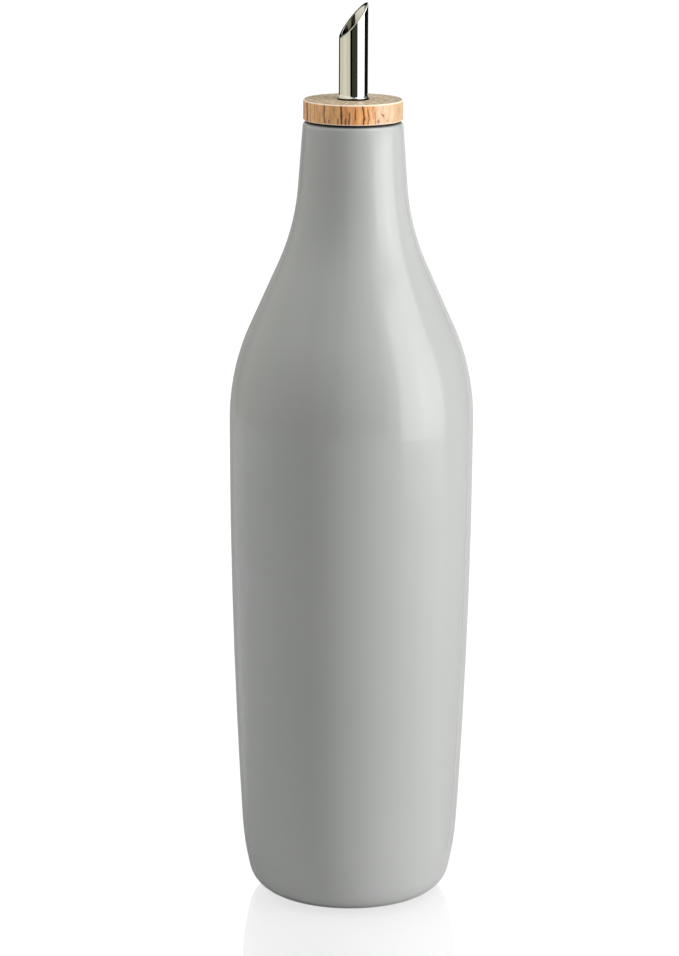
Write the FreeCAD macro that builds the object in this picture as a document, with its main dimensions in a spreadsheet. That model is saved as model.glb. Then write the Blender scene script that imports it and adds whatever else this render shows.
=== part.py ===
import FreeCAD, Part

import math
import os

import Sketcher

# Ceramic oil dispenser: a tall glazed bottle on a foot ring, closed by a pourer that is
# a dark seal, a beech collar and a polished steel tube with a slanted mouth.
#
# Frame: +Z up along the bottle's axis, origin at the middle of the foot ring's underside.
# The mouth of the tube looks to -X and a little to -Y. Millimetres and degrees throughout.

SIZES = [
    # bottle
    ("bottle_height", 268.5, "foot ring to the lip"),
    ("body_dia", 83.0, "widest, where the shoulder starts"),
    ("shoulder_curve", 78.0, "radius that turns the wall in towards the neck"),
    ("shoulder_slope", 24.2, "lean of the flank between shoulder and throat, from upright"),
    ("throat_curve", 78.0, "radius that turns the flank up into the neck"),
    ("neck_length", 21.8, "straight upper neck"),
    ("neck_taper", 4.2, "lean of the neck, from upright"),
    ("lip_dia", 33.6, "neck at the lip, before it is rounded"),
    ("lip_round", 1.5, "rounding of the lip"),
    ("wall_curve", 2400.0, "radius of the nearly straight wall below the shoulder"),
    ("foot_height", 25.0, "where the wall starts to draw in to the foot"),
    ("foot_curve", 100.0, "radius of the wall there"),
    ("heel_round", 10.0, "radius of the bottom corner"),
    ("foot_ring_width", 4.0, "flat ring that the bottle stands on"),
    ("foot_recess", 1.5, "depth of the base inside the ring"),
    ("foot_ring_round", 0.6, "rounding of the ring's inner edge"),
    # seal between lip and collar
    ("seal_thick", 0.5, "thickness"),
    ("seal_inset", 1.0, "step in from the lip"),
    # wooden collar
    ("collar_thick", 7.0, "thickness"),
    ("collar_inset", 0.1, "step in from the lip"),
    ("collar_chamfer", 0.4, "both outer edges"),
    # steel tube
    ("tube_dia", 9.7, "outside"),
    ("tube_wall", 1.0, "wall"),
    ("tube_clearance", 0.1, "gap all round between the tube and what it passes through"),
    ("tube_rise", 32.3, "tip above the collar"),
    ("mouth_slope", 51.0, "slant of the mouth, from level"),
    ("mouth_turn", 17.0, "turn of the slant's high side from +X towards +Y"),
    ("mouth_round", 0.12, "rounding of the mouth's edges"),
    ("flange_reach", 0.45, "flange that stands on the collar, out from the tube"),
    ("flange_edge", 0.75, "upright edge of the flange"),
    ("flange_round", 0.3, "rounding above and below that edge"),
    ("flare_height", 1.6, "where the tube starts to flare out to the flange"),
]


def make_sheet(doc):
    sheet = doc.addObject("Spreadsheet::Sheet", "Sizes")
    for row, (name, value, note) in enumerate(SIZES, start=1):
        sheet.set(f"A{row}", name)
        sheet.set(f"B{row}", str(value))
        sheet.setAlias(f"B{row}", name)
        sheet.set(f"C{row}", note)
    doc.recompute()
    return sheet


def make_body(doc, name):
    body = doc.addObject("PartDesign::Body", name.capitalize())
    body.Label = name
    return body


def make_sketch(body, name, role):
    """An empty sketch on the body's own origin plane of that role."""
    sketch = body.newObject("Sketcher::SketchObject", name)
    plane = next(item for item in body.Origin.OriginFeatures if item.Role == role)
    sketch.AttachmentSupport = (plane, [""])
    sketch.MapMode = "FlatFace"
    return sketch


def drive(sketch, name, expression, *constraint):
    """Add a dimension under a name and bind it to the sheet."""
    index = sketch.addConstraint(Sketcher.Constraint(*constraint))
    sketch.renameConstraint(index, name)
    sketch.setExpression(f"Constraints.{name}", expression)


def relate(sketch, *constraints):
    for constraint in constraints:
        sketch.addConstraint(Sketcher.Constraint(*constraint))


def line(start, end):
    return Part.LineSegment(FreeCAD.Vector(*start, 0), FreeCAD.Vector(*end, 0))


def arc(centre, radius, first, last):
    """Counter-clockwise arc between two angles in radians."""
    circle = Part.Circle(FreeCAD.Vector(*centre, 0), FreeCAD.Vector(0, 0, 1), radius)
    return Part.ArcOfCircle(circle, first, last)


def polar(centre, radius, angle):
    return (centre[0] + radius * math.cos(angle), centre[1] + radius * math.sin(angle))


def revolve(body, sketch, name):
    turned = body.newObject("PartDesign::Revolution", name)
    turned.Profile = sketch
    turned.ReferenceAxis = (sketch, ["V_Axis"])
    turned.Angle = 360
    body.Document.recompute()
    return turned


def ring_edges(shape, height, radius):
    """Names of the circular edges at a height and a radius about the Z axis."""
    names = []
    for number, edge in enumerate(shape.Edges, start=1):
        curve = edge.Curve
        if not isinstance(curve, Part.Circle):
            continue
        if abs(curve.Center.z - height) < 1e-4 and abs(curve.Radius - radius) < 1e-4:
            names.append(f"Edge{number}")
    return names


def dress(body, kind, name, base, edges, size_property, expression):
    """Fillet or chamfer some edges of a feature, with the size bound to the sheet."""
    feature = body.newObject(f"PartDesign::{kind}", name)
    feature.Base = (base, edges)
    feature.setExpression(size_property, expression)
    body.Document.recompute()
    return feature


def make_bottle(doc, sheet):
    """Half outline turned about the axis: foot ring, heel, wall, shoulder, flank, throat, neck."""
    body = make_body(doc, "bottle")
    sketch = make_sketch(body, "BottleOutline", "XZ_Plane")

    # Where the outline's points lie, worked out from the lip down.
    slope = math.radians(sheet.shoulder_slope)
    taper = math.radians(sheet.neck_taper)
    widest = sheet.body_dia / 2
    lip = (sheet.lip_dia / 2, sheet.bottle_height)
    neck_base = (lip[0] + sheet.neck_length * math.tan(taper), lip[1] - sheet.neck_length)
    throat = polar(neck_base, sheet.throat_curve, taper)
    flank_top = polar(throat, -sheet.throat_curve, slope)
    flank_base_r = widest - sheet.shoulder_curve * (1 - math.cos(slope))
    flank_base = (flank_base_r, flank_top[1] - (flank_base_r - flank_top[0]) / math.tan(slope))
    shoulder = polar(flank_base, -sheet.shoulder_curve, slope)
    wall = (widest - sheet.wall_curve, shoulder[1])
    wall_turn = math.asin((wall[1] - sheet.foot_height) / sheet.wall_curve)
    wall_base = polar(wall, sheet.wall_curve, -wall_turn)
    foot = polar(wall_base, -sheet.foot_curve, -wall_turn)
    heel_reach = sheet.foot_curve - sheet.heel_round
    heel_turn = math.asin((foot[1] - sheet.heel_round) / heel_reach)
    heel = polar(foot, heel_reach, -heel_turn)
    ring_outer = (heel[0], 0)
    ring_inner = (heel[0] - sheet.foot_ring_width, 0)
    recess_corner = (ring_inner[0], sheet.foot_recess)
    recess_middle = (0, sheet.foot_recess)

    outline = sketch.addGeometry([
        line(recess_middle, recess_corner),
        line(recess_corner, ring_inner),
        line(ring_inner, ring_outer),
        arc(heel, sheet.heel_round, -math.pi / 2, -heel_turn),
        arc(foot, sheet.foot_curve, -heel_turn, -wall_turn),
        arc(wall, sheet.wall_curve, -wall_turn, 0),
        arc(shoulder, sheet.shoulder_curve, 0, slope),
        line(flank_base, flank_top),
        arc(throat, sheet.throat_curve, math.pi + taper, math.pi + slope),
        line(neck_base, lip),
        line(lip, (0, lip[1])),
        line((0, lip[1]), recess_middle),
    ], False)
    ceiling, step, ring, heel_arc, foot_arc, wall_arc = outline[:6]
    shoulder_arc, flank, throat_arc, neck, top, axis = outline[6:]
    start, end, centre = 1, 2, 3
    origin = (-1, 1)
    relate(
        sketch,
        ("Coincident", ceiling, end, step, start),
        ("Coincident", step, end, ring, start),
        ("Coincident", neck, end, top, start),
        ("Coincident", top, end, axis, start),
        ("Coincident", axis, end, ceiling, start),
        ("Tangent", ring, end, heel_arc, start),
        ("Tangent", heel_arc, end, foot_arc, start),
        ("Tangent", foot_arc, end, wall_arc, start),
        ("Tangent", wall_arc, end, shoulder_arc, start),
        ("Tangent", shoulder_arc, end, flank, start),
        ("Tangent", flank, end, throat_arc, end),
        ("Tangent", throat_arc, start, neck, start),
        ("Horizontal", ceiling),
        ("Vertical", step),
        ("Horizontal", ring),
        ("Horizontal", top),
        ("Vertical", axis),
        ("Horizontal", wall_arc, centre, wall_arc, end),
        ("PointOnObject", axis, end, -2),
        ("PointOnObject", ring, end, -1),
    )
    drive(sketch, "height", "Sizes.bottle_height", "DistanceY", *origin, neck, end, lip[1])
    drive(sketch, "lip", "Sizes.lip_dia / 2", "DistanceX", *origin, neck, end, lip[0])
    drive(sketch, "neck", "Sizes.neck_length", "DistanceY", neck, start, neck, end, sheet.neck_length)
    drive(sketch, "taper", "(90 + Sizes.neck_taper) * 1 deg", "Angle", neck, math.pi / 2 + taper)
    drive(sketch, "throat", "Sizes.throat_curve", "Radius", throat_arc, sheet.throat_curve)
    drive(sketch, "slope", "(90 + Sizes.shoulder_slope) * 1 deg", "Angle", flank, math.pi / 2 + slope)
    drive(sketch, "shoulder", "Sizes.shoulder_curve", "Radius", shoulder_arc, sheet.shoulder_curve)
    drive(sketch, "widest", "Sizes.body_dia / 2", "DistanceX", *origin, wall_arc, end, widest)
    drive(sketch, "wall", "Sizes.wall_curve", "Radius", wall_arc, sheet.wall_curve)
    drive(sketch, "foot_top", "Sizes.foot_height", "DistanceY", *origin, wall_arc, start, wall_base[1])
    drive(sketch, "foot", "Sizes.foot_curve", "Radius", foot_arc, sheet.foot_curve)
    drive(sketch, "heel", "Sizes.heel_round", "Radius", heel_arc, sheet.heel_round)
    drive(sketch, "ring", "Sizes.foot_ring_width", "DistanceX",
          ring, start, ring, end, sheet.foot_ring_width)
    drive(sketch, "recess", "Sizes.foot_recess", "DistanceY", *origin, ceiling, start, sheet.foot_recess)

    turned = revolve(body, sketch, "BottleBody")
    lip_edge = ring_edges(turned.Shape, lip[1], lip[0])
    rounded = dress(body, "Fillet", "LipRound", turned, lip_edge, "Radius", "Sizes.lip_round")
    ring_edge = ring_edges(rounded.Shape, 0, ring_inner[0])
    dress(body, "Fillet", "FootRingRound", rounded, ring_edge, "Radius", "Sizes.foot_ring_round")
    return body


def make_washer(doc, name, outer, thick, height):
    """A flat ring round the tube; the arguments after the name are expressions."""
    body = make_body(doc, name)
    sketch = make_sketch(body, f"{body.Name}Outline", "XY_Plane")
    middle = FreeCAD.Vector(0, 0, 0)
    up = FreeCAD.Vector(0, 0, 1)
    rim, hole = sketch.addGeometry([Part.Circle(middle, up, 2), Part.Circle(middle, up, 1)], False)
    relate(sketch, ("Coincident", rim, 3, -1, 1), ("Coincident", hole, 3, -1, 1))
    drive(sketch, "rim", outer, "Radius", rim, 2)
    drive(sketch, "hole", "Sizes.tube_dia / 2 + Sizes.tube_clearance", "Radius", hole, 1)
    pad = body.newObject("PartDesign::Pad", f"{body.Name}Disc")
    pad.Profile = sketch
    pad.setExpression("Length", thick)
    body.setExpression("Placement.Base.z", height)
    doc.recompute()
    return body, pad


def make_seal(doc):
    return make_washer(
        doc, "seal", "Sizes.lip_dia / 2 - Sizes.seal_inset", "Sizes.seal_thick", "Sizes.bottle_height")[0]


def make_collar(doc, sheet):
    body, pad = make_washer(
        doc, "collar", "Sizes.lip_dia / 2 - Sizes.collar_inset", "Sizes.collar_thick",
        "Sizes.bottle_height + Sizes.seal_thick")
    radius = sheet.lip_dia / 2 - sheet.collar_inset
    edges = ring_edges(pad.Shape, 0, radius) + ring_edges(pad.Shape, sheet.collar_thick, radius)
    dress(body, "Chamfer", "CollarEdges", pad, edges, "Size", "Sizes.collar_chamfer")
    return body


def make_spout(doc, sheet):
    """The tube stands on the lip, its flange on the collar; its height counts from the collar's top."""
    body = make_body(doc, "spout")
    sketch = make_sketch(body, "TubeOutline", "XZ_Plane")
    outer = sheet.tube_dia / 2
    bore = outer - sheet.tube_wall
    flange = outer + sheet.flange_reach
    below = -(sheet.collar_thick + sheet.seal_thick)
    rise = sheet.tube_rise

    # The flare leaves the tube upright and ends at the flange's edge.
    flare_drop = sheet.flare_height - sheet.flange_edge
    flare_radius = (sheet.flange_reach ** 2 + flare_drop ** 2) / (2 * sheet.flange_reach)
    flare_turn = math.asin(flare_drop / flare_radius)
    flare_centre = (outer + flare_radius, sheet.flare_height)

    foot, stem, seat, edge, flare, side, tip, inside = sketch.addGeometry([
        line((bore, below), (outer, below)),
        line((outer, below), (outer, 0)),
        line((outer, 0), (flange, 0)),
        line((flange, 0), (flange, sheet.flange_edge)),
        arc(flare_centre, flare_radius, math.pi, math.pi + flare_turn),
        line((outer, sheet.flare_height), (outer, rise)),
        line((outer, rise), (bore, rise)),
        line((bore, rise), (bore, below)),
    ], False)
    start, end = 1, 2
    origin = (-1, 1)
    relate(
        sketch,
        ("Coincident", foot, end, stem, start),
        ("Coincident", stem, end, seat, start),
        ("Coincident", seat, end, edge, start),
        ("Coincident", edge, end, flare, end),
        ("Tangent", flare, start, side, start),
        ("Coincident", side, end, tip, start),
        ("Coincident", tip, end, inside, start),
        ("Coincident", inside, end, foot, start),
        ("Horizontal", foot),
        ("Vertical", stem),
        ("Horizontal", seat),
        ("Vertical", edge),
        ("Vertical", side),
        ("Horizontal", tip),
        ("Vertical", inside),
        ("PointOnObject", seat, start, -1),
    )
    drive(sketch, "outer", "Sizes.tube_dia / 2", "DistanceX", *origin, stem, start, outer)
    drive(sketch, "upper", "Sizes.tube_dia / 2", "DistanceX", *origin, side, end, outer)
    drive(sketch, "tube_wall", "Sizes.tube_wall", "DistanceX", inside, end, foot, end, sheet.tube_wall)
    drive(sketch, "flange", "Sizes.flange_reach", "DistanceX", seat, start, seat, end, sheet.flange_reach)
    drive(sketch, "edge", "Sizes.flange_edge", "DistanceY", edge, start, edge, end, sheet.flange_edge)
    drive(sketch, "flare", "Sizes.flare_height", "DistanceY", *origin, side, start, sheet.flare_height)
    drive(sketch, "rise", "Sizes.tube_rise", "DistanceY", *origin, side, end, rise)
    drive(sketch, "stem", "Sizes.collar_thick + Sizes.seal_thick", "DistanceY",
          stem, start, *origin, -below)
    turned = revolve(body, sketch, "Tube")
    edges = ring_edges(turned.Shape, 0, flange) + ring_edges(turned.Shape, sheet.flange_edge, flange)
    rounded = dress(body, "Fillet", "FlangeRound", turned, edges, "Radius", "Sizes.flange_round")
    mouth = cut_mouth(body, sheet)
    volumes = (rounded.Shape.Volume, mouth.Shape.Volume)
    if not 0 < volumes[1] < 0.95 * volumes[0]:
        raise RuntimeError(f"the slanted mouth cuts nothing: {volumes}")
    round_mouth(body, mouth)

    body.setExpression("Placement.Base.z", "Sizes.bottle_height + Sizes.seal_thick + Sizes.collar_thick")
    body.setExpression("Placement.Rotation.Angle", "Sizes.mouth_turn * 1 deg")
    doc.recompute()
    return body


def cut_mouth(body, sheet):
    """Take off everything above a slant that passes through the tube's tip."""
    sketch = make_sketch(body, "MouthSlant", "XZ_Plane")
    outer = sheet.tube_dia / 2
    tip = (outer, sheet.tube_rise)
    far = (-2 * outer, tip[1] - 3 * outer * math.tan(math.radians(sheet.mouth_slope)))
    above = (far[0], tip[1] + outer)
    beside = (tip[0] + outer, above[1])
    below_beside = (beside[0], tip[1])
    slant, left, over, right, back = sketch.addGeometry([
        line(tip, far),
        line(far, above),
        line(above, beside),
        line(beside, below_beside),
        line(below_beside, tip),
    ], False)
    relate(
        sketch,
        ("Coincident", slant, 2, left, 1),
        ("Coincident", left, 2, over, 1),
        ("Coincident", over, 2, right, 1),
        ("Coincident", right, 2, back, 1),
        ("Coincident", back, 2, slant, 1),
        ("Vertical", left),
        ("Horizontal", over),
        ("Vertical", right),
        ("Horizontal", back),
    )
    drive(sketch, "tip_out", "Sizes.tube_dia / 2", "DistanceX", -1, 1, slant, 1, tip[0])
    drive(sketch, "tip_up", "Sizes.tube_rise", "DistanceY", -1, 1, slant, 1, tip[1])
    drive(sketch, "slope", "(180 + Sizes.mouth_slope) * 1 deg", "Angle", slant,
          math.pi + math.radians(sheet.mouth_slope))
    drive(sketch, "past_tube", "Sizes.tube_dia", "DistanceX", slant, 2, -1, 1, -far[0])
    drive(sketch, "past_tip", "Sizes.tube_dia / 2", "DistanceX", back, 2, back, 1, outer)
    drive(sketch, "over_tip", "Sizes.tube_dia / 2", "DistanceY", right, 2, right, 1, outer)
    mouth = body.newObject("PartDesign::Pocket", "Mouth")
    mouth.Profile = sketch
    mouth.SideType = "Symmetric"
    mouth.setExpression("Length", "2 * Sizes.tube_dia")
    body.Document.recompute()
    return mouth


def round_mouth(body, mouth):
    """Round the two slanted rings that bound the mouth's face."""
    names = [
        f"Edge{number}" for number, edge in enumerate(mouth.Shape.Edges, start=1)
        if isinstance(edge.Curve, Part.Ellipse)
    ]
    dress(body, "Fillet", "MouthRound", mouth, names, "Radius", "Sizes.mouth_round")


def check(doc, bodies):
    for item in doc.Objects:
        if "Invalid" in item.State or "Error" in item.State:
            raise RuntimeError(f"{item.Name} did not build: {item.State}")
    for body in bodies:
        shape = body.Shape
        if shape.isNull() or not shape.isValid() or len(shape.Solids) != 1:
            raise RuntimeError(f"{body.Label} is not one valid solid")


def main():
    doc = FreeCAD.newDocument("OilDispenser")
    sheet = make_sheet(doc)
    bodies = [
        make_bottle(doc, sheet),
        make_seal(doc),
        make_collar(doc, sheet),
        make_spout(doc, sheet),
    ]
    doc.recompute()
    check(doc, bodies)
    os.makedirs("parts", exist_ok=True)
    for body in bodies:
        body.Shape.exportStep(f"parts/{body.Label}.step")
        box = body.Shape.BoundBox
        print(f"{body.Label}: volume {body.Shape.Volume:.1f} mm3, z {box.ZMin:.2f} to {box.ZMax:.2f} mm")


main()
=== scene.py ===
"""Looks and staging of the ceramic oil dispenser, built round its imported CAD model.

Lengths are metres, except where a comment says millimetres. An azimuth counts in degrees from the
viewer's side (-Y), positive towards +X, and an elevation counts up from level.
"""

import math

import bpy
from mathutils import Euler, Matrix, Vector


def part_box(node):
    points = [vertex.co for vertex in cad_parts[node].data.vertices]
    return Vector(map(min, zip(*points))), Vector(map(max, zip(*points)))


MM = 0.001
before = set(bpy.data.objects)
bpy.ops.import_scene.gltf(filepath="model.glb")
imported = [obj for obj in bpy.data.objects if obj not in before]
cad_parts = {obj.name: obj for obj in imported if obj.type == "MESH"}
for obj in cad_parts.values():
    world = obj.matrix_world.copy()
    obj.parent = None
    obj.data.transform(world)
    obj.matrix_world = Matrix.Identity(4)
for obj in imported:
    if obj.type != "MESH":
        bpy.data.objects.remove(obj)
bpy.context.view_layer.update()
scene = bpy.context.scene

# Heights in mm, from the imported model.
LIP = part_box("bottle")[1][2] / MM
COLLAR_FOOT, COLLAR_HEAD = (corner[2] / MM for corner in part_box("collar"))


# ---------------------------------------------------------------- node helpers

class Shader:
    """A material's node tree, with short calls for adding and joining nodes."""

    def __init__(self, name):
        self.material = bpy.data.materials.new(name)
        self.material.use_nodes = True
        self.tree = self.material.node_tree
        self.tree.nodes.clear()
        self.output = self.tree.nodes.new("ShaderNodeOutputMaterial")

    def add(self, kind, inputs=None, **settings):
        """A node; inputs are values or other nodes' outputs, keyed by socket name or number."""
        node = self.tree.nodes.new(f"ShaderNode{kind}")
        for name, value in settings.items():
            setattr(node, name, value)
        for name, value in (inputs or {}).items():
            if isinstance(value, bpy.types.NodeSocket):
                self.tree.links.new(value, node.inputs[name])
            else:
                node.inputs[name].default_value = value
        return node

    def math(self, operation, *values):
        return self.add("Math", dict(enumerate(values)), operation=operation).outputs[0]

    def ramp(self, factor, *stops):
        """Colour ramp through (position, grey or colour) stops."""
        node = self.add("ValToRGB", {"Fac": factor})
        elements = node.color_ramp.elements
        for element, (position, colour) in zip(elements, stops):
            element.position = position
            element.color = (*colour, 1) if isinstance(colour, tuple) else (colour, colour, colour, 1)
        return node.outputs["Color"]

    def blend(self, factor, first, second, mode="MIX"):
        """Mix two colours."""
        node = self.add("Mix", data_type="RGBA", blend_type=mode)
        for index, value in ((0, factor), (6, first), (7, second)):
            if isinstance(value, bpy.types.NodeSocket):
                self.tree.links.new(value, node.inputs[index])
            elif isinstance(value, tuple):
                node.inputs[index].default_value = (*value, 1)
            else:
                node.inputs[index].default_value = value
        return node.outputs[2]

    def place(self, turn=0.0):
        """Object coordinates in millimetres, turned about the upright axis by degrees."""
        where = self.add("TexCoord").outputs["Object"]
        turned = (0, 0, math.radians(turn))
        mapping = self.add("Mapping", {"Vector": where, "Rotation": turned, "Scale": (1 / MM,) * 3})
        return mapping.outputs[0]

    def stretch(self, where, scale):
        return self.add("VectorMath", {0: where, 1: scale}, operation="MULTIPLY").outputs[0]

    def parts(self, vector):
        """The X, Y and Z of a vector."""
        return self.add("SeparateXYZ", {0: vector}).outputs

    def radius(self, where):
        """Distance from the upright axis."""
        flat = self.stretch(where, (1, 1, 0))
        return self.add("VectorMath", {0: flat}, operation="LENGTH").outputs["Value"]

    def step(self, value, first, last):
        """0 at first, 1 at last, smooth between; first may be the larger."""
        node = self.add("MapRange", {"Value": value, "From Min": first, "From Max": last})
        node.interpolation_type = "SMOOTHSTEP"
        return node.outputs[0]

    def noise(self, where, scale=1.0, detail=3.0, roughness=0.5):
        node = self.add("TexNoise", {"Vector": where, "Scale": scale, "Detail": detail,
                                     "Roughness": roughness})
        return node.outputs["Fac"]

    def bump(self, height, distance, strength=0.5):
        node = self.add("Bump", {"Height": height, "Distance": distance, "Strength": strength})
        return node.outputs[0]

    def surface(self, shader):
        self.tree.links.new(shader.outputs[0], self.output.inputs["Surface"])
        return self.material


def dress(node_name, material):
    """Give a CAD node its material."""
    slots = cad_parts[node_name].data.materials
    slots.clear()
    slots.append(material)


# ---------------------------------------------------------------- materials: glaze

GLAZE_TINTS = ((0.412, 0.426, 0.410), (0.432, 0.443, 0.432))
CLAY_TINTS = ((0.52, 0.45, 0.36), (0.66, 0.59, 0.49))
GLAZE_FOOT = (0.55, 0.7)      # mm above the table, where the clay ends and the glaze begins
GLAZE_ROUGH = 0.15
CLAY_ROUGH = 0.8
SATIN_FACING = (0.6, 0.85)    # the glaze turns more satin from the first to the second facing
SATIN_ROUGH = 0.5
LIP_SHADE_DEPTHS = (0.5, 0.2)   # mm below the lip; painted shade darkens the lip's top under the seal between these
LIP_SHADE_TINT = (0.03, 0.025, 0.02)
LIP_SHADE_SHARE = 0.5


def glaze_material():
    """Satin grey glaze: faint clouding, a slightly uneven surface, bare clay on the foot ring, painted shade
    on the lip under the seal.
    """
    shader = Shader("grey_glaze")
    where = shader.place()
    height = shader.parts(where)["Z"]
    clouds = shader.noise(where, 0.018, detail=4)
    tint = shader.ramp(clouds, (0.3, GLAZE_TINTS[0]), (0.7, GLAZE_TINTS[1]))
    ragged = shader.math("MULTIPLY_ADD", shader.noise(where, 0.5), 0.5, height)
    glazed = shader.step(ragged, *GLAZE_FOOT)
    speckle = shader.noise(where, 2.5, detail=5)
    clay = shader.ramp(speckle, (0.3, CLAY_TINTS[0]), (0.7, CLAY_TINTS[1]))
    colour = shader.blend(glazed, clay, tint)
    # Painted shade on the lip's top, where it meets the seal.
    lip_shade = shader.step(height, *(LIP - below for below in LIP_SHADE_DEPTHS))
    colour = shader.blend(shader.math("MULTIPLY", lip_shade, LIP_SHADE_SHARE), colour, LIP_SHADE_TINT)

    matt = shader.ramp(glazed, (0.0, CLAY_ROUGH), (1.0, GLAZE_ROUGH))
    facing = shader.add("LayerWeight", {"Blend": 0.5}).outputs["Facing"]
    satin = shader.math("MULTIPLY", shader.step(facing, *SATIN_FACING), SATIN_ROUGH)
    matt = shader.math("MAXIMUM", matt, satin)
    swell = shader.noise(where, 0.045, detail=1)
    uneven = shader.bump(swell, 0.25 * MM)
    grain = shader.noise(where, 1.1, detail=2)
    fine = shader.add("Bump", {"Height": grain, "Distance": 0.004 * MM, "Strength": 0.5, "Normal": uneven})
    gloss = shader.add("BsdfPrincipled", {
        "Base Color": colour, "Roughness": matt, "IOR": 1.5, "Normal": fine.outputs[0]})
    return shader.surface(gloss)


# ---------------------------------------------------------------- materials: wood

# The grain runs upright. Across the rings, distances in mm count along an axis turned from X by this:
WOOD_TURN = 30.0
PALE_SIDE, RED_SIDE = 14.6, 12.6
HEART_SIDE = (2.0, 6.0)
WARM_TINTS = ((0.76, 0.355, 0.135), (0.99, 0.56, 0.245))
PALE_TINTS = ((0.60, 0.39, 0.215), (0.74, 0.54, 0.34))
HEART_TINT = (0.95, 0.86, 0.74)
PINK_TINT = (0.70, 0.33, 0.215)
STREAK_TINT = (0.065, 0.018, 0.005)
PORE_TINT = (0.20, 0.09, 0.035)
END_TINTS = ((0.23, 0.18, 0.105), (0.66, 0.56, 0.385))
EDGE_HIGHLIGHT_TINT = (0.98, 0.82, 0.63)
PAINTED_SHADE_TINT = (0.02, 0.012, 0.006)
END_DEPTH = (0.12, 0.02)      # mm below the collar's top, where the side's look gives way to the end grain's
TOP_RIM = (15.6, 16.1)        # radii in mm, where painted shade darkens the end grain towards its edge
RIM_PAINTED_SHADE = (0.62, 0.62, 0.62)
EDGE_HIGHLIGHT_WIDTH = 0.55              # mm of the side at the top and at the foot that is painted pale, a painted highlight on the edges
EDGE_HIGHLIGHT_FADE = 0.15
HOLE_SHADE = (5.1, 5.9)       # radii in mm, painted shade round the steel's foot: dark inside the first, none outside the second
FOOT_SHADE_LINE = (0.2, 0.1)       # mm above the collar's foot, painted shade along it, dark below the second
SIDE_ROUGH = 0.3
END_ROUGH = 0.5
LINE_FADE = 0.4               # mm over which a dark line ends
LINE_CORE = 0.35              # share of a line's half width that is fully dark
GRAIN_LINES = (
    # The dark lines: place across the rings, half width, depth of colour, and the heights in mm
    # above the collar's foot between which the line runs, None where it runs to the edge.
    (-14.1, 0.80, 0.85, None, None),
    (-9.9, 0.70, 0.85, None, None),
    (-7.6, 0.35, 0.35, None, 4.5),
    (-5.7, 0.35, 0.50, 1.0, None),
    (-3.4, 0.30, 0.40, None, 4.0),
    (-1.45, 0.36, 0.85, None, None),
    (0.2, 0.40, 0.70, 0.8, 1.9),
    (3.5, 0.34, 0.60, None, 2.4),
    (4.65, 0.42, 1.0, None, None),
    (6.0, 0.36, 0.80, None, 2.6),
    (7.05, 0.32, 0.90, None, 4.4),
    (9.0, 0.26, 0.80, 1.8, 5.6),
    (11.1, 0.32, 0.95, None, None),
    (12.2, 0.22, 0.75, None, 5.6),
    (13.25, 0.17, 0.60, 2.2, None),
    (13.85, 0.15, 0.60, None, 4.6),
    (14.4, 0.22, 0.80, 0.9, 1.8),
    (15.4, 0.15, 0.85, 2.4, 3.6),
    (15.95, 0.12, 0.85, 0.9, 1.7),
)


def grain_lines(shader, across, height):
    """The dark lines of GRAIN_LINES, 0 to 1."""
    dark = 0.0
    for place, half_width, depth, foot, head in GRAIN_LINES:
        away = shader.math("ABSOLUTE", shader.math("SUBTRACT", across, place))
        line = shader.math("MULTIPLY", shader.step(away, half_width, LINE_CORE * half_width), depth)
        if foot is not None:
            line = shader.math("MULTIPLY", line, shader.step(height, foot - LINE_FADE, foot + LINE_FADE))
        if head is not None:
            line = shader.math("MULTIPLY", line, shader.step(height, head + LINE_FADE, head - LINE_FADE))
        dark = shader.math("MAXIMUM", line, dark)
    return dark


def swayed_place(shader, where):
    """The place, pushed a little to and fro across the grain, so that lines waver."""
    slow = shader.stretch(where, (0.25, 0.25, 0.22))
    drift = shader.add("TexNoise", {"Vector": slow, "Scale": 1.0, "Detail": 2.0})
    centred = shader.add("VectorMath", {0: drift.outputs["Color"], 1: (0.5, 0.5, 0.5)}, operation="SUBTRACT")
    sway = shader.stretch(centred.outputs[0], (1.5, 1.5, 0.0))
    return shader.add("VectorMath", {0: where, 1: sway}, operation="ADD").outputs[0]


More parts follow.
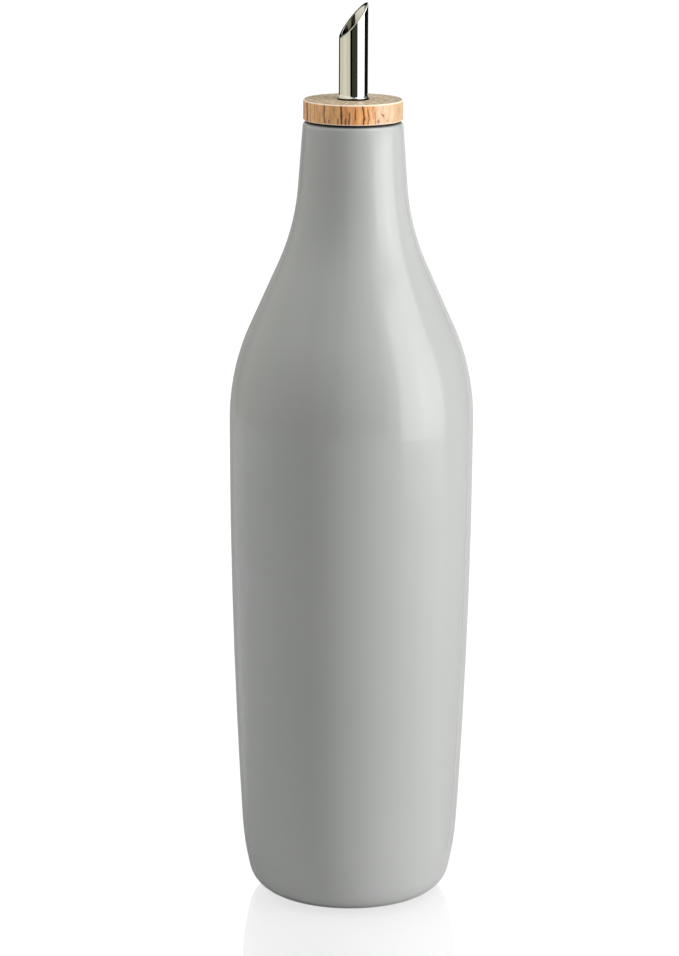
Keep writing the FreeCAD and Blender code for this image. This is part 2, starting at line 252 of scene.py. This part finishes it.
def wood_material():
    """Beech with upright grain: thin dark lines across the rings, flecks along them, pored ends."""
    shader = Shader("beech")
    straight = shader.place()
    where = shader.place(turn=WOOD_TURN)
    swayed = swayed_place(shader, where)
    across = shader.parts(where)["X"]
    height = shader.parts(straight)["Z"]
    above_foot = shader.math("SUBTRACT", height, COLLAR_FOOT)
    end_grain = shader.step(height, *(COLLAR_HEAD - below for below in END_DEPTH))

    streak = grain_lines(shader, shader.parts(swayed)["X"], above_foot)
    streak = shader.math("MULTIPLY", streak, shader.ramp(end_grain, (0.0, 1.0), (1.0, 0.25)))
    bands = shader.noise(shader.stretch(swayed, (1.1, 0.12, 0.02)), roughness=0.65)
    fibres = shader.noise(shader.stretch(swayed, (3.2, 2.6, 0.12)), detail=4, roughness=0.65)
    blush = shader.noise(shader.stretch(where, (0.5, 0.5, 0.3)), detail=1)
    pores = shader.add("TexVoronoi", {"Vector": shader.stretch(swayed, (2.2, 2.2, 0.45)), "Scale": 1.0})
    pore = shader.ramp(pores.outputs["Distance"], (0.12, 1.0), (0.3, 0.0))

    warm = shader.ramp(bands, (0.36, WARM_TINTS[0]), (0.62, WARM_TINTS[1]))
    warm = shader.blend(shader.step(across, *HEART_SIDE), warm, HEART_TINT, "MULTIPLY")
    pale = shader.ramp(bands, (0.36, PALE_TINTS[0]), (0.62, PALE_TINTS[1]))
    tint = shader.blend(shader.step(across, PALE_SIDE, RED_SIDE), pale, warm)
    tint = shader.blend(1.0, tint, shader.ramp(fibres, (0.34, 0.76), (0.6, 1.08)), "MULTIPLY")
    tint = shader.blend(shader.ramp(blush, (0.5, 0.0), (0.68, 0.5)), tint, PINK_TINT)
    tint = shader.blend(shader.math("MULTIPLY", streak, 0.96), tint, STREAK_TINT)
    tint = shader.blend(shader.math("MULTIPLY", pore, 0.42), tint, PORE_TINT)

    speckle = shader.noise(shader.stretch(where, (1.1, 0.35, 1.0)), detail=4, roughness=0.75)
    ends = shader.ramp(speckle, (0.42, END_TINTS[0]), (0.60, END_TINTS[1]))
    # Painted shade along the edge of the top.
    rim_shade = shader.step(shader.radius(straight), *TOP_RIM)
    ends = shader.blend(rim_shade, ends, RIM_PAINTED_SHADE, "MULTIPLY")
    tint = shader.blend(shader.math("MULTIPLY", end_grain, 0.9), tint, ends)

    # Painted highlight: the side is painted pale at its top and foot edges, where light catches them.
    lower = shader.step(above_foot, EDGE_HIGHLIGHT_WIDTH, EDGE_HIGHLIGHT_WIDTH - EDGE_HIGHLIGHT_FADE)
    below_head = shader.math("SUBTRACT", COLLAR_HEAD, height)
    upper = shader.step(below_head, EDGE_HIGHLIGHT_WIDTH, EDGE_HIGHLIGHT_WIDTH - EDGE_HIGHLIGHT_FADE)
    upper = shader.math("MULTIPLY", upper, shader.step(below_head, 0.0, 0.1))
    edge_highlight = shader.math("MAXIMUM", lower, upper)
    tint = shader.blend(shader.math("MULTIPLY", edge_highlight, 0.88), tint, EDGE_HIGHLIGHT_TINT)
    # Painted shade round the steel's foot and along the collar's foot, where the parts meet.
    shade_free, dark = HOLE_SHADE[1], HOLE_SHADE[0]
    hole_shade = shader.step(shader.radius(straight), shade_free, dark)
    foot_shade = shader.step(above_foot, *FOOT_SHADE_LINE)
    tint = shader.blend(shader.math("MAXIMUM", hole_shade, foot_shade), tint, PAINTED_SHADE_TINT)

    dips = shader.math("ADD", streak, pore)
    relief = shader.bump(shader.math("SUBTRACT", fibres, dips), 0.06 * MM)
    matt = shader.ramp(end_grain, (0.0, SIDE_ROUGH), (1.0, END_ROUGH))
    body = shader.add("BsdfPrincipled", {"Base Color": tint, "Roughness": matt, "Normal": relief})
    return shader.surface(body)


# ---------------------------------------------------------------- materials: steel and rubber

BORE_EDGE = (3.87, 3.95)      # radii in mm, bore inside the first and polished outside the second; the bore's darker colour is painted shade
STEEL_TINT = (0.93, 0.93, 0.915)
BORE_SHADE_TINT = (0.46, 0.45, 0.41)
STEEL_ROUGH = (0.02, 0.045)
BORE_ROUGH = (0.12, 0.12, 0.12)
SEAT_SHADE_TOP = (0.6, 0.5)         # mm above the wood; painted shade, dark below the second
SEAT_ROUGH = (0.5, 0.5, 0.5)
NEAR_BLACK = (0.012, 0.011, 0.01)
RUBBER_ROUGH = 0.7


def steel_material():
    """Polished steel with fine marks along the tube, duller in the bore with its darker colour painted shade,
    and painted shade where it sits on the wood.
    """
    shader = Shader("polished_steel")
    where = shader.place()
    wipe = shader.noise(shader.stretch(where, (3, 3, 0.3)), detail=4)
    rough = shader.ramp(wipe, (0.3, STEEL_ROUGH[0]), (0.7, STEEL_ROUGH[1]))
    outside = shader.step(shader.radius(where), *BORE_EDGE)
    rough = shader.blend(outside, BORE_ROUGH, rough)
    # Painted shade: the bore is coloured darker than the outside.
    colour = shader.blend(outside, BORE_SHADE_TINT, STEEL_TINT)
    # Painted shade where the steel sits on the wood.
    seat_shade = shader.step(shader.parts(where)["Z"], *(COLLAR_HEAD + above for above in SEAT_SHADE_TOP))
    rough = shader.blend(seat_shade, rough, SEAT_ROUGH)
    colour = shader.blend(seat_shade, colour, NEAR_BLACK)
    metal = shader.add("BsdfPrincipled", {"Base Color": colour, "Metallic": 1.0, "Roughness": rough})
    return shader.surface(metal)


def seal_material():
    shader = Shader("seal_rubber")
    rubber = shader.add("BsdfPrincipled", {"Base Color": (*NEAR_BLACK, 1), "Roughness": RUBBER_ROUGH})
    return shader.surface(rubber)


dress("bottle", glaze_material())
dress("collar", wood_material())
dress("spout", steel_material())
dress("seal", seal_material())


# ---------------------------------------------------------------- floor

FLOOR_PAPER = (0.76, 0.76, 0.76, 1)
FLOOR_WHITE = 1.18            # strength of the floor's own white
FLOOR_SEEN = 0.85             # its share where the camera sees the floor
FLOOR_REFLECTED = 0.6         # and where the object mirrors it
FLOOR_MIRROR = 0.27           # how far the floor mirrors the object
FOOT_SHADOW_SPAN = (40.0, 1000.0)   # mm from the axis; painted shadow round the foot in reflections: the mirrored white comes up between these
MIRROR_EDGE = (450.0, 250.0)  # mm from the axis; no mirror beyond the first
FLOOR_REACH = 6.0
FLOOR_DROP = 0.00008          # just under the foot ring, so that no two faces share a plane


def mesh_object(name, vertices, faces, material):
    mesh = bpy.data.meshes.new(name)
    mesh.from_pydata(vertices, [], faces)
    mesh.materials.append(material)
    thing = bpy.data.objects.new(name, mesh)
    scene.collection.objects.link(thing)
    return thing


def floor_material():
    """White where it is seen, with a share of real shading, dimmer in reflections with a painted shadow round
    the foot, faintly mirroring.
    """
    shader = Shader("floor")
    paper = shader.add("BsdfDiffuse", {"Color": FLOOR_PAPER})
    glow = shader.add("Emission", {"Color": (1, 1, 1, 1), "Strength": FLOOR_WHITE})
    path = shader.add("LightPath")
    reach = shader.radius(shader.place())
    seen = shader.math("MULTIPLY", path.outputs["Is Camera Ray"], FLOOR_SEEN)
    mirrored = shader.math("MULTIPLY", path.outputs["Is Glossy Ray"], FLOOR_REFLECTED)
    # Painted shadow: in reflections the floor's white fades out towards the foot.
    mirrored = shader.math("MULTIPLY", mirrored, shader.step(reach, *FOOT_SHADOW_SPAN))
    share = shader.math("MAXIMUM", seen, mirrored)
    lit = shader.add("MixShader", {0: share, 1: paper.outputs[0], 2: glow.outputs[0]})
    mirror = shader.add("BsdfGlossy", {"Color": (1, 1, 1, 1), "Roughness": 0.03})
    polish = shader.math("MULTIPLY", shader.step(reach, *MIRROR_EDGE), FLOOR_MIRROR)
    polish = shader.math("MULTIPLY", polish, path.outputs["Is Camera Ray"])
    both = shader.add("MixShader", {0: polish, 1: lit.outputs[0], 2: mirror.outputs[0]})
    return shader.surface(both)


def veil_material():
    """Clear: what the floor mirrors has passed it twice, so the cards can tell and stay out of it."""
    shader = Shader("veil")
    return shader.surface(shader.add("BsdfTransparent"))


def sheet(name, height, material):
    corners = ((-1, -1), (1, -1), (1, 1), (-1, 1))
    vertices = [(x * FLOOR_REACH, y * FLOOR_REACH, height) for x, y in corners]
    mesh_object(name, vertices, [(0, 1, 2, 3)], material)


sheet("floor", -FLOOR_DROP, floor_material())
sheet("veil", -FLOOR_DROP / 2, veil_material())


# ---------------------------------------------------------------- lamps and world

AMBIENT = 0.2                 # the world's strength as a light
LAMPS = (
    # name, azimuth, elevation, distance, width, height, watts, height of its aim, colour
    ("key", 72, 0, 1.3, 0.3, 0.9, 23.8, 0.16, (1.0, 0.986, 1.0)),
    ("right_top", 60, 60, 0.6, 0.4, 0.4, 2.0, 0.22, (1, 1, 1)),
    ("left_top", -80, 50, 0.55, 0.4, 0.4, 1.1, 0.22, (1, 1, 1)),
    ("left", -95, 0, 0.9, 0.3, 0.3, 0.8, 0.2, (1, 1, 1)),
    ("back_left", -130, 40, 0.8, 0.4, 0.4, 0.7, 0.2, (1, 1, 1)),
)


def direction(azimuth, elevation=0.0):
    """Unit vector towards an azimuth and elevation."""
    turn, rise = math.radians(azimuth), math.radians(elevation)
    return Vector((math.sin(turn) * math.cos(rise), -math.cos(turn) * math.cos(rise), math.sin(rise)))


def lamp(name, azimuth, elevation, distance, width, height, watts, aim, colour):
    """A rectangular lamp that lights but isn't mirrored, turned to a point above the origin."""
    light = bpy.data.lights.new(name, "AREA")
    light.shape = "RECTANGLE"
    light.size = width
    light.size_y = height
    light.energy = watts
    light.color = colour
    thing = bpy.data.objects.new(name, light)
    target = Vector((0, 0, aim))
    thing.location = target + direction(azimuth, elevation) * distance
    thing.rotation_euler = (thing.location - target).to_track_quat("Z", "Y").to_euler()
    thing.visible_glossy = False
    thing.visible_camera = False
    scene.collection.objects.link(thing)


def world_light():
    """White where it is seen or mirrored, dimmer as a light."""
    world = bpy.data.worlds.new("studio")
    scene.world = world
    world.use_nodes = True
    tree = world.node_tree
    tree.nodes.clear()
    path = tree.nodes.new("ShaderNodeLightPath")
    glossy = tree.nodes.new("ShaderNodeMath")
    glossy.operation = "MAXIMUM"
    seen = tree.nodes.new("ShaderNodeMath")
    seen.operation = "MAXIMUM"
    shown = tree.nodes.new("ShaderNodeBackground")
    shown.inputs["Color"].default_value = (1, 1, 1, 1)
    ambient = tree.nodes.new("ShaderNodeBackground")
    ambient.inputs["Color"].default_value = (1, 1, 1, 1)
    ambient.inputs["Strength"].default_value = AMBIENT
    mix = tree.nodes.new("ShaderNodeMixShader")
    output = tree.nodes.new("ShaderNodeOutputWorld")
    link = tree.links.new
    link(path.outputs["Is Camera Ray"], glossy.inputs[0])
    link(path.outputs["Is Glossy Ray"], glossy.inputs[1])
    link(glossy.outputs[0], seen.inputs[0])
    link(path.outputs["Is Transmission Ray"], seen.inputs[1])
    link(seen.outputs[0], mix.inputs[0])
    link(ambient.outputs[0], mix.inputs[1])
    link(shown.outputs[0], mix.inputs[2])
    link(mix.outputs[0], output.inputs["Surface"])


world_light()
for row in LAMPS:
    lamp(*row)


# ---------------------------------------------------------------- cards

DARK_ROOM = (0.036, 0.039, 0.026)
DIM_GREY = (0.36, 0.36, 0.33)
BLACK = (0.0, 0.0, 0.0)
DEEP_SHADE = (0.006, 0.006, 0.006)
CARD_TOP = 1.6
SOFTBOX_DISTANCE = 0.68
SOFTBOX_FADE = 0.045          # height over which the softbox comes up from the floor
SOFTBOX = (
    # first and last azimuth, brightness
    (46, 76, 3.8),
    (76, 84, 3.4),
    (84, 95, 2.7),
)
WALL_DISTANCE = 1.0
WARM_GREY = (0.64, 0.615, 0.48)
LEFT_WALL = (
    # first and last azimuth, share of WARM_GREY
    (-133, -112, 0.97),
    (-112, -92, 0.93),
    (-92, -82, 1.0),
    (-82, -60, 1.07),
    (-60, -50, 1.0),
    (-50, -38, 0.93),
    (-38, -24, 0.91),
)
ROOM_CARDS = (
    # name, azimuths, foot and head as (distance, height), brightness
    ("dark_edge", (-24, -9), (1.15, 0.0), (1.15, CARD_TOP), BLACK),
    ("dark_card", (-10, 34), (1.2, 0.0), (1.2, CARD_TOP), DARK_ROOM),
    ("right_flag", (98, 158), (1.0, 0.0), (1.0, CARD_TOP), (0.2, 0.2, 0.2)),
    ("right_floor", (98, 158), (0.06, 0.0), (1.0, 0.0), (0.35, 0.35, 0.35)),
    ("left_back", (-178, -133), (1.0, 0.21), (1.0, CARD_TOP), DIM_GREY),
    ("left_back_foot", (-178, -133), (1.0, 0.0), (1.0, 0.15), DIM_GREY),
    ("left_floor_back", (-178, -155), (0.06, 0.0), (1.0, 0.0), (0.5, 0.5, 0.47)),
    ("left_floor", (-155, -133), (0.06, 0.0), (1.0, 0.0), (0.68, 0.68, 0.65)),
    ("left_back_far", (-178, -133), (4.0, 0.0), (4.0, 3.0), DIM_GREY),
)
TUBE_CARDS = (
    # Far off on the floor, where the tube's edges alone look; then small ones at the tube's own height.
    ("tube_left", (-180, -132), (2.0, 0.0), (3.5, 0.0), BLACK),
    ("tube_right", (98, 180), (2.2, 0.0), (3.5, 0.0), BLACK),
    ("tube_dark", (98.5, 158), (0.1, 0.262), (0.1, 0.31), DEEP_SHADE),
    ("tube_light", (36, 94), (0.1, 0.262), (0.1, 0.31), (2.0, 2.0, 2.0)),
    ("mouth_fill", (-133, -18), (0.1, 0.291), (0.1, 0.301), (1.5, 1.47, 1.3)),
)
FLANGE_CARD = ("flange_dark", (-8.5, 21), (0.045, 0.272), (0.045, 0.4), DARK_ROOM)
MOUTH_AIM = (0, 0, 0.3021)    # on the axis, in the slanted mouth
MOUTH_EDGE_SIDE = 0.03
ONCE_THROUGH_VEIL = 1.5       # between one pass and two


def card_material(name, brightness, low=0.0, fade=0.0):
    """Seen in the object's reflections alone, not in the floor's; fades in over a height above low."""
    shader = Shader(name)
    height = shader.parts(shader.add("TexCoord").outputs["Object"])["Z"]
    path = shader.add("LightPath")
    amount = shader.math("MULTIPLY", path.outputs["Is Glossy Ray"], shader.step(height, low - MM, low + fade))
    direct = shader.math("LESS_THAN", path.outputs["Transparent Depth"], ONCE_THROUGH_VEIL)
    amount = shader.math("MULTIPLY", amount, direct)
    glow = shader.add("Emission", {"Color": (*brightness, 1), "Strength": 1.0})
    clear = shader.add("BsdfTransparent")
    return shader.surface(shader.add("MixShader", {0: amount, 1: clear.outputs[0], 2: glow.outputs[0]}))


def hang_card(name, vertices, faces, material):
    thing = mesh_object(name, vertices, faces, material)
    thing.visible_camera = False
    thing.visible_diffuse = False
    thing.visible_shadow = False


def card(name, azimuths, foot, head, brightness, fade=0.0):
    """A curved card round part of the scene; foot and head are (distance, height) of its two edges."""
    first, last = azimuths
    steps = max(2, round((last - first) / 5))
    vertices = []
    for step in range(steps + 1):
        out = direction(first + (last - first) * step / steps)
        vertices += [(out.x * distance, out.y * distance, height) for distance, height in (foot, head)]
    faces = [(2 * i, 2 * i + 2, 2 * i + 3, 2 * i + 1) for i in range(steps)]
    hang_card(name, vertices, faces, card_material(name, brightness, foot[1], fade))


def slanted_card(name, aim, azimuth, elevation, distance, slant, edge, side_length, brightness):
    """A square card facing a point; one of its sides passes that point's line of sight at a slant."""
    centre = Vector(aim) + direction(azimuth, elevation) * distance
    right = direction(azimuth - 90)
    up = direction(azimuth, elevation + 90)
    turn = math.radians(slant)
    along = right * math.sin(turn) + up * math.cos(turn)
    side = right * math.cos(turn) - up * math.sin(turn)
    vertices = [centre + along * (a * side_length / 2) + side * (edge + b * side_length)
                for a, b in ((-1, 0), (1, 0), (1, 1), (-1, 1))]
    hang_card(name, vertices, [(0, 1, 2, 3)], card_material(name, brightness))


for first, last, white in SOFTBOX:
    card(f"softbox_face{last}", (first, last), (SOFTBOX_DISTANCE, 0.0), (SOFTBOX_DISTANCE, CARD_TOP),
         (white,) * 3, SOFTBOX_FADE)
for first, last, share in LEFT_WALL:
    grey = tuple(share * part for part in WARM_GREY)
    card(f"left_card{-last}", (first, last), (WALL_DISTANCE, 0.0), (WALL_DISTANCE, CARD_TOP), grey)
for row in ROOM_CARDS + TUBE_CARDS:
    card(*row)
slanted_card("mouth_edge", MOUTH_AIM, azimuth=-153.5, elevation=15.4, distance=0.06, slant=37.5,
             edge=-0.0005, side_length=MOUTH_EDGE_SIDE, brightness=BLACK)
card(*FLANGE_CARD)


# ---------------------------------------------------------------- camera

IMAGE_HEIGHT = 956
FOCAL_PIXELS = 3597.9
SENSOR = 36.0
DISTANCE = 1.2
HEIGHT = 0.4243
PITCH = 13.06
SIDE_STEP = -0.00397
ROLL = 0.28
CLIP_END = 50

camera_data = bpy.data.cameras.new("camera")
camera_data.sensor_width = SENSOR
camera_data.lens = FOCAL_PIXELS * SENSOR / IMAGE_HEIGHT
camera_data.clip_end = CLIP_END
camera = bpy.data.objects.new("camera", camera_data)
camera.location = (SIDE_STEP, -DISTANCE, HEIGHT)
camera.rotation_mode = "ZYX"
camera.rotation_euler = Euler((math.radians(90 - PITCH), 0, math.radians(ROLL)), "ZYX")
scene.collection.objects.link(camera)
scene.camera = camera

scene.view_settings.view_transform = "Standard"
